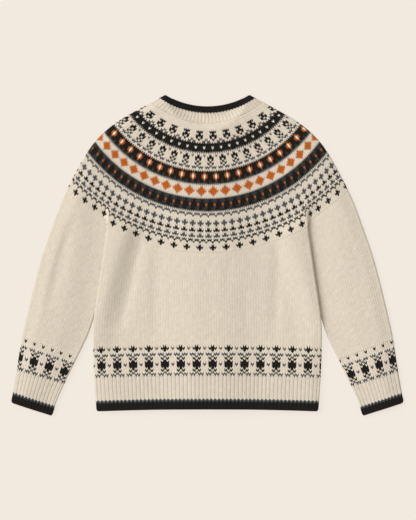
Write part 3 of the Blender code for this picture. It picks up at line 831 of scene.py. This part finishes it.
def make_piece(node, strips, size):
    """One object of knitted strips, in place of a CAD node."""
    name = "knit_" + node
    points = np.concatenate([strip.points for strip in strips])
    starts = np.cumsum([0] + [len(strip.points) for strip in strips])
    polygons, sizes, colours, uvs = [], [], [], []
    for i, strip in enumerate(strips):
        polygons += [(strip.quads + starts[i]).ravel(), (strip.triangles + starts[i]).ravel()]
        sizes += [np.full(len(strip.quads), 4), np.full(len(strip.triangles), 3)]
        colours.append(strip.colours)
        uvs.append((strip.uvs + (0, i)) * (1, 1 / len(strips)))
    corner_points, sizes = np.concatenate(polygons), np.concatenate(sizes)
    mesh = bpy.data.meshes.new(name)
    mesh.vertices.add(len(points))
    mesh.vertices.foreach_set("co", points.ravel())
    mesh.loops.add(len(corner_points))
    mesh.loops.foreach_set("vertex_index", corner_points)
    mesh.polygons.add(len(sizes))
    mesh.polygons.foreach_set("loop_start", np.cumsum(sizes) - sizes)
    mesh.update(calc_edges=True)
    mesh.shade_smooth()
    flat = mesh.attributes.new("sharp_face", "BOOLEAN", "FACE")
    flat.data.foreach_set("value", np.concatenate([strip.flat for strip in strips]))
    yarn = mesh.attributes.new("yarn", "FLOAT_COLOR", "FACE")
    yarn.data.foreach_set("color", np.concatenate(colours).ravel())
    # Painted shade for each point, by which the wool material darkens its colour.
    shade = mesh.attributes.new("shade", "FLOAT", "POINT")
    shade.data.foreach_set("value", np.concatenate([strip.shades for strip in strips]))
    uv_map = mesh.uv_layers.new(name="OFBake")
    uv_map.uv.foreach_set("vector", np.concatenate(uvs).ravel())
    mesh.materials.append(WOOL)
    piece = added(name, mesh)
    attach(piece, "root")
    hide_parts(node)


# --- Materials ---


def principled(name, **inputs):
    """A material, its tree and its shader with the inputs set."""
    material = bpy.data.materials.new(name)
    material.use_nodes = True
    shader = material.node_tree.nodes["Principled BSDF"]
    for label, value in inputs.items():
        shader.inputs[label.replace("_", " ")].default_value = value
    return material, material.node_tree, shader


def maths(tree, operation, *values):
    """A Math node over links or numbers."""
    node = tree.nodes.new("ShaderNodeMath")
    node.operation = operation
    for socket, value in zip(node.inputs, values):
        if isinstance(value, (int, float)):
            socket.default_value = value
        else:
            tree.links.new(value, socket)
    return node.outputs[0]


def noise(tree, scale, detail=2.0):
    """Noise over the object's own coordinates, in metres."""
    place = tree.nodes.new("ShaderNodeTexCoord")
    node = tree.nodes.new("ShaderNodeTexNoise")
    node.inputs["Scale"].default_value = scale
    node.inputs["Detail"].default_value = detail
    tree.links.new(place.outputs["Object"], node.inputs["Vector"])
    return node.outputs["Fac"]


def attribute(tree, name):
    """A node with one of the mesh's own attributes."""
    node = tree.nodes.new("ShaderNodeAttribute")
    node.attribute_name = name
    return node


def ramped(tree, shader, dark, light, **grain):
    """A base colour from dark to light by noise."""
    ramp = tree.nodes.new("ShaderNodeValToRGB")
    ramp.color_ramp.elements[0].color = (*dark, 1)
    ramp.color_ramp.elements[1].color = (*light, 1)
    tree.links.new(noise(tree, **grain), ramp.inputs["Fac"])
    tree.links.new(ramp.outputs["Color"], shader.inputs["Base Color"])


def bumped(tree, shader, strength, distance, **grain):
    """Fine bump by noise."""
    bump = tree.nodes.new("ShaderNodeBump")
    bump.inputs["Strength"].default_value = strength
    bump.inputs["Distance"].default_value = distance
    tree.links.new(noise(tree, **grain), bump.inputs["Height"])
    tree.links.new(bump.outputs["Normal"], shader.inputs["Normal"])


def make_wool():
    """Heathered wool coloured by its stitches, with painted shade in grooves and folds."""
    material, tree, shader = principled(
        "wool", Roughness=0.95, Sheen_Weight=0.04, Sheen_Roughness=0.6, Specular_IOR_Level=0.15
    )
    yarn = attribute(tree, "yarn")
    fibres = maths(tree, "SUBTRACT", noise(tree, scale=1100, detail=3.0), 0.5)
    patches = maths(tree, "SUBTRACT", noise(tree, scale=90), 0.5)
    fibres = maths(tree, "MULTIPLY", fibres, FIBRES)
    mottle = maths(tree, "MULTIPLY_ADD", patches, PATCHES, fibres)
    heather = maths(tree, "MULTIPLY_ADD", mottle, yarn.outputs["Alpha"], 1.0)
    # Painted shade: the colour is darkened by the shade attribute.
    grooves = maths(tree, "MULTIPLY_ADD", attribute(tree, "shade").outputs["Fac"], -PAINTED_SHADE, 1.0)
    scaled = tree.nodes.new("ShaderNodeVectorMath")
    scaled.operation = "SCALE"
    tree.links.new(yarn.outputs["Color"], scaled.inputs[0])
    tree.links.new(maths(tree, "MULTIPLY", heather, grooves), scaled.inputs["Scale"])
    tree.links.new(scaled.outputs[0], shader.inputs["Base Color"])
    bumped(tree, shader, strength=0.5, distance=0.0003, scale=2400, detail=3.0)
    return material


def make_cotton():
    """Dark matt sewing thread with a fine twist."""
    material, tree, shader = principled("cotton", Roughness=0.9, Specular_IOR_Level=0.2)
    ramped(tree, shader, dark=(0.010, 0.010, 0.009), light=(0.040, 0.038, 0.033), scale=2500)
    return material


def make_horn():
    """Dark horn with soft streaks."""
    material, tree, shader = principled("horn", Roughness=0.32, Specular_IOR_Level=0.5)
    dark, light = (0.012, 0.008, 0.006), (0.075, 0.045, 0.025)
    ramped(tree, shader, dark, light, scale=260, detail=4.0)
    bumped(tree, shader, strength=0.15, distance=0.0002, scale=900)
    return material


# --- Pieces ---

SURFACE = ["the surface"]  # what the lower layer rests on


def plain(rows, wales):
    """The yarns of a plain strip."""
    return letters(["."] * rows, wales)


def rib(rows, ribs):
    """The yarns of a rib, from a letter for each row."""
    return letters(list(rows), ribs)


def lengths(surface, count=60):
    """The widest row and the tallest wale of a surface."""
    across, up = np.meshgrid(np.linspace(0, 1, count), np.linspace(0, 1, count))
    points = grid_of(surface, across, up)
    wide = np.linalg.norm(np.diff(points, axis=1), axis=2).sum(axis=1).max()
    tall = np.linalg.norm(np.diff(points, axis=0), axis=2).sum(axis=0).max()
    return float(wide), float(tall)


def cut(*surfaces):
    """The flat size of a piece made of stretches, one above the other."""
    sizes = [lengths(surface) for surface in surfaces]
    return max(wide for wide, _ in sizes), sum(tall for _, tall in sizes)


def make_rib(node, surface, yarns, rests_on, **how):
    """A piece of one ribbed strip."""
    strips = [knit(surface, yarns, make=ribbing, **how)]
    make_piece(node, strips, cut(surface))


def body_parts(height=None):
    """The surfaces of the back, or a front: the plain part, the patterned band and the hem."""
    ends = (BAND_TOP, None), (HEM_TOP, BAND_TOP), (HEM_EDGE, HEM_TOP)
    return [body(low, high, height) for low, high in ends]


def knit_back():
    """The back and its hem."""
    plain_part, band, hem = body_parts()
    strips = [
        knit(plain_part, plain(BODY_ROWS, BODY_WALES)),
        knit(band, letters(HEM_CHART, BODY_WALES, HEM_PHASE)),
    ]
    under = ["front_left", "front_right", "sleeve_left", "sleeve_right"]
    make_piece("back", strips, cut(plain_part, band))
    under = ["hem_front_left", "hem_front_right"]
    make_rib("hem_back", hem, rib(EDGE_ROWS, HEM_RIBS), under, low="free")


def side_of(side):
    """What takes a right half's surface to its side."""
    return mirrored if side < 0 else lambda surface: surface


def knit_front(side, name, height):
    """A front and its hem."""
    plain_part, band, hem = (side_of(side)(part) for part in body_parts(height))
    flip = side > 0
    strips = [
        knit(plain_part, plain(BODY_ROWS, FRONT_WALES), flip=flip),
        knit(band, letters(HEM_CHART, FRONT_WALES), flip=flip),
    ]
    size = cut(plain_part, band)
    make_piece("front_" + name, strips, size)
    yarns = rib(EDGE_ROWS, FRONT_HEM_RIBS)
    make_rib("hem_front_" + name, hem, yarns, SURFACE, low="free", flip=flip)


def make_yoke(node, surface_of, yarns_of, flip):
    """The back or a quarter of the yoke, a strip for each colour band."""
    strips, surfaces = [], []
    lows = [strip.top for strip in YOKE[1:]] + [BASE]
    for strip, low in zip(YOKE, lows):
        surface = surface_of(low, strip.top)
        meets = "plainly over" if low == BASE else "over"
        strips.append(knit(surface, yarns_of(strip), low=meets, flip=flip))
        surfaces.append(surface)
    make_piece(node, strips, cut(*surfaces))


def knit_yoke_back():
    """The yoke's back and its neckband."""

    def yarns_of(strip):
        return letters(strip.chart, strip.wales, strip.phase)

    make_yoke("yoke_back", yoke, yarns_of, False)
    surface, ridge = yoke(NECK_SEAM + RIDGE, NECK_EDGE), yoke(NECK_SEAM, NECK_SEAM + RIDGE)
    strips = [
        knit(surface, rib(NECK_ROWS, NECK_RIBS), make=ribbing, top="free", low="seam"),
        knit(ridge, plain(1, YOKE[0].wales), top="seam", low="seam"),
    ]
    make_piece("neckband_back", strips, cut(surface, ridge))


def knit_yoke_front(side, name, height):
    """A front quarter of the yoke and its end of the neckband."""

    def surface_of(low, high):
        return side_of(side)(yoke(low, high, height))

    def yarns_of(strip):
        return letters(strip.chart, strip.wales // 2 - FRONT_YOKE_LESS)

    flip = side > 0
    make_yoke("yoke_front_" + name, surface_of, yarns_of, flip)
    neckband, yarns = surface_of(NECK_SEAM, NECK_EDGE), rib(NECK_ROWS, FRONT_NECK_RIBS)
    how = {"top": "free", "low": "seam", "flip": flip}
    make_rib("neckband_front_" + name, neckband, yarns, SURFACE, **how)


def knit_sleeve(side, name):
    """A sleeve and its cuff."""
    wrist, flip = WRISTS[name], side < 0
    rib_top = wrist.rib_top
    row = wrist.row / lengths(tube(side, None, rib_top))[1]
    lattice_from = 1 - len(LATTICE) * row
    dots_from = lattice_from - len(DOTS_CHART) * row
    stretches = (0.0, dots_from), (dots_from, lattice_from), (lattice_from, 1.0)
    parts = [tube(side, None, rib_top, *ends) for ends in stretches]
    yarns = (
        plain(SLEEVE_ROWS, SLEEVE_WALES),
        letters(DOTS_CHART, DOTS_WALES, wrist.dots_phase),
        letters(LATTICE, wrist.wales, wrist.phase),
    )
    strips = [knit(*part, sides="wrap", flip=flip) for part in zip(parts, yarns)]
    make_piece("sleeve_" + name, strips, cut(*parts))
    cuff, yarns = tube(side, rib_top, CUFF_EDGE), rib(EDGE_ROWS, CUFF_RIBS)
    how = {"low": "free", "sides": "wrap", "flip": flip}
    make_rib("cuff_" + name, cuff, yarns, SURFACE, **how)


def knit_band(name, height, left, right):
    """The button band or the buttonhole band."""
    surface = front_band(left, right, height)
    yarns = rib(BAND_ROWS, round(lengths(surface)[0] / BAND_RIB))
    how = {"top": "free", "low": "free", "sides": "free"}
    make_rib("button_band_" + name, surface, yarns, SURFACE, **how)


def cylinder(sides, radius, depth, place=(0, 0, 0)):
    bpy.ops.mesh.primitive_cylinder_add(vertices=sides, radius=radius, depth=depth, location=place)
    return bpy.context.object


def button_mesh():
    """A round button with a rounded rim, a sunk face underneath and four holes."""
    button = cylinder(BUTTON_SIDES, BUTTON_RADIUS, BUTTON_THICK)
    rim = button.modifiers.new("Rim", "BEVEL")
    rim.width, rim.segments = BUTTON_RIM, 4
    underneath = (0, 0, -BUTTON_THICK / 2)
    cutters = [cylinder(BUTTON_SIDES, BUTTON_DISH_RADIUS, 2 * BUTTON_DISH, underneath)]
    for across, along in ((-1, -1), (-1, 1), (1, -1), (1, 1)):
        place = (across * BUTTON_HOLE_OFFSET, along * BUTTON_HOLE_OFFSET, 0)
        cutters.append(cylinder(BUTTON_HOLE_SIDES, BUTTON_HOLE, 2 * BUTTON_THICK, place))
    for cutter in cutters:
        cut_out = button.modifiers.new("Cut", "BOOLEAN")
        cut_out.operation, cut_out.object = "DIFFERENCE", cutter
    mesh = evaluated_mesh(button, HORN)
    for used in [button, *cutters]:
        bpy.data.objects.remove(used)
    mesh.set_sharp_from_angle(angle=math.radians(35))
    return mesh


def thread_mesh():
    """Two crossed stitches of thread through a button's holes, up into the button band."""
    curve = bpy.data.curves.new("sewing_thread", "CURVE")
    curve.dimensions = "3D"
    curve.bevel_depth, curve.bevel_resolution, curve.use_fill_caps = THREAD / 2, 2, True
    hole, top = BUTTON_HOLE_OFFSET, INNER_BAND + THREAD - BUTTON_THICK / 2
    for side in (-1, 1):
        low = BUTTON_DISH - BUTTON_THICK / 2 - THREAD * THREAD_LAYERS[side]
        half = [(THREAD_TURN, low), (1.0, low + THREAD_BEND), (1.0, top)]
        path = [(-along, z) for along, z in reversed(half)] + half
        spline = curve.splines.new("POLY")
        spline.points.add(len(path) - 1)
        for point, (along, z) in zip(spline.points, path):
            point.co = (side * along * hole, along * hole, z, 1)
    thread = added("sewing_thread", curve)
    mesh = evaluated_mesh(thread, THREAD_COTTON)
    bpy.data.objects.remove(thread)
    return mesh


def evaluated_mesh(piece, material):
    """A mesh of an object with its modifiers applied."""
    bpy.context.view_layer.update()
    depsgraph = bpy.context.evaluated_depsgraph_get()
    mesh = bpy.data.meshes.new_from_object(piece.evaluated_get(depsgraph))
    mesh.materials.clear()
    mesh.materials.append(material)
    mesh.shade_smooth()
    return mesh


def make_buttons():
    """The buttons in place of the CAD ones, each sewn on."""
    button, thread = button_mesh(), thread_mesh()
    for number in range(1, BUTTON_COUNT + 1):
        node = f"button_{number}"
        low, high = (np.array(corner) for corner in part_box(node))
        for name, mesh, slot_name in (
            ("horn_button", button, "button_horn"),
            ("sewing_thread", thread, "cream_wool"),
        ):
            piece = added(f"{name}_{number}", mesh)
            piece.location = (low + high) / 2
            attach(piece, "root")
            if mesh is button:
                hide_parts(node)


# --- The garment ---

WOOL, HORN, THREAD_COTTON = make_wool(), make_horn(), make_cotton()
knit_yoke_back()
knit_back()
for side, name, height in ((-1, "left", INNER_BAND), (1, "right", OUTER_BAND)):
    knit_front(side, name, height)
    knit_yoke_front(side, name, height)
    knit_sleeve(side, name)
knit_band("left", INNER_BAND, SEAM / 2 - BAND / 2, BAND / 2)
knit_band("right", OUTER_BAND, -BAND / 2, BAND / 2 - SEAM / 2)
make_buttons()

# --- The floor, light and camera ---

BACKDROP = (0.888, 0.823, 0.738)
BACKDROP_GLOW, BACKDROP_LIT = 0.875, 0.12  # how much of it glows, and how much takes the light
FLOOR_SIZE, FLOOR_DROP = 40, 0.0006
SKY, SKY_STRENGTH = (1.0, 0.945, 0.865), 0.56
SUN, SUN_STRENGTH = (1.0, 0.985, 0.965), 2.8
SUN_WIDTH, SUN_TILT = 38, (-24, -50)  # in degrees
FRAME_TALL = 1.092  # height of the picture at the garment
CAMERA_UP = 4.0
CAMERA_PLACE = (0.00126, -0.0105)
SENSOR = 36


def make_floor():
    """A pale backdrop that is lit evenly, so that it hardly shows a shadow."""
    bpy.ops.mesh.primitive_plane_add(size=FLOOR_SIZE, location=(0, 0, -FLOOR_DROP))
    floor = bpy.context.object
    floor.name = "floor"
    material, _, shader = principled("floor", Roughness=1.0, Specular_IOR_Level=0.0)
    shader.inputs["Base Color"].default_value = (*(BACKDROP_LIT * c for c in BACKDROP), 1)
    shader.inputs["Emission Color"].default_value = (*BACKDROP, 1)
    shader.inputs["Emission Strength"].default_value = BACKDROP_GLOW
    floor.data.materials.append(material)


def make_light():
    """A soft sky and a wide sun from the upper left."""
    world = bpy.data.worlds.new("studio")
    bpy.context.scene.world = world
    world.use_nodes = True
    sky = world.node_tree.nodes["Background"]
    sky.inputs["Color"].default_value = (*SKY, 1)
    sky.inputs["Strength"].default_value = SKY_STRENGTH
    sun = bpy.data.lights.new("key", "SUN")
    sun.energy, sun.color, sun.angle = SUN_STRENGTH, SUN, math.radians(SUN_WIDTH)
    added("key", sun).rotation_euler = (*(math.radians(angle) for angle in SUN_TILT), 0)


def make_camera():
    """A camera straight above, far enough to see hardly any perspective."""
    data = bpy.data.cameras.new("camera")
    data.sensor_fit, data.sensor_height = "VERTICAL", SENSOR
    data.lens = SENSOR * CAMERA_UP / FRAME_TALL
    data.clip_end = 50
    camera = added("camera", data)
    camera.location = (*CAMERA_PLACE, CAMERA_UP + DOUBLE)
    bpy.context.scene.camera = camera


make_floor()
make_light()
make_camera()
bpy.context.scene.view_settings.view_transform = "Standard"
